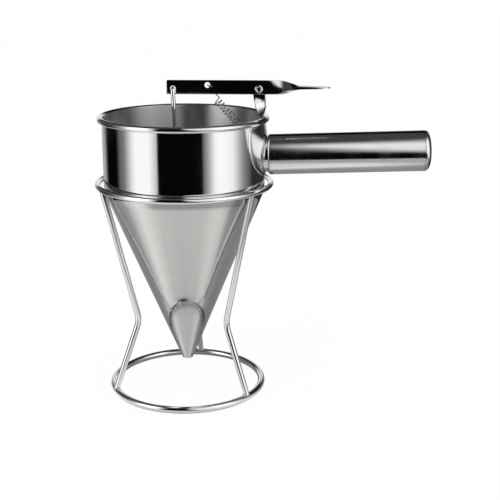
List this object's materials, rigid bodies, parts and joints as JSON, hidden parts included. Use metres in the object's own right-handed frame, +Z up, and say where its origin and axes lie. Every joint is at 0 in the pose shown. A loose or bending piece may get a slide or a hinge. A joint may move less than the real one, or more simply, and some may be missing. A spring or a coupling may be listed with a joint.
{
  "type": "dispensing funnel",
  "caption": "Steel batter funnel with a rolled-rim bowl, plain cone, side handle and a thumb lever that lifts a stopper rod, standing in a bent wire frame.",
  "frame": {"origin": "on the standing surface, under the middle of the whole assembly's bounding box", "axes": "+X from the bowl out along the handle, +Z up along the funnel's axis, +Y away from the viewer in the picture"},
  "size_m": [0.239, 0.128, 0.2285],
  "materials": {
    "polished_steel": "mirror-polished stainless steel",
    "satin_steel": "satin stainless steel",
    "chromed_wire": "bright plated wire",
    "spring_steel": "drawn spring wire"
  },
  "bodies": {
    "stand": {"stand_base_ring": "chromed_wire", "stand_top_ring": "chromed_wire", "stand_leg_front_right": "chromed_wire", "stand_leg_back": "chromed_wire", "stand_leg_front_left": "chromed_wire"},
    "funnel": {"bowl_shell": "polished_steel", "funnel_cone": "satin_steel", "handle_saddle": "polished_steel", "handle_neck": "polished_steel", "handle_front_cap": "polished_steel", "handle_tube": "polished_steel", "handle_end_cap": "polished_steel", "lever_bracket": "polished_steel", "return_spring": "spring_steel"},
    "lever": {"lever": "polished_steel", "pivot_rivet": "chromed_wire"},
    "rod": {"pull_rod": "chromed_wire", "stopper_plug": "satin_steel"}
  },
  "joints": [
    {"name": "funnel_lift", "type": "slide", "parent": "stand", "child": "funnel", "axis": [0, 0, 1], "range_m": [0, 0.145]},
    {"name": "lever_pivot", "type": "hinge", "parent": "funnel", "child": "lever", "pos_m": [-0.0022, 0, 0.2221], "axis": [0, 1, 0], "range_deg": [0, 15], "stiffness_Nm_per_rad": 1.2, "springref_deg": -4.58, "deforming": ["return_spring"]},
    {"name": "rod_hinge", "type": "hinge", "parent": "lever", "child": "rod", "pos_m": [-0.0624, 0, 0.2226], "axis": [0, 1, 0], "range_deg": [-15, 0]}
  ],
  "couplings": [
    {"joint": "rod_hinge", "follows": "lever_pivot", "ratio": -1}
  ]
}
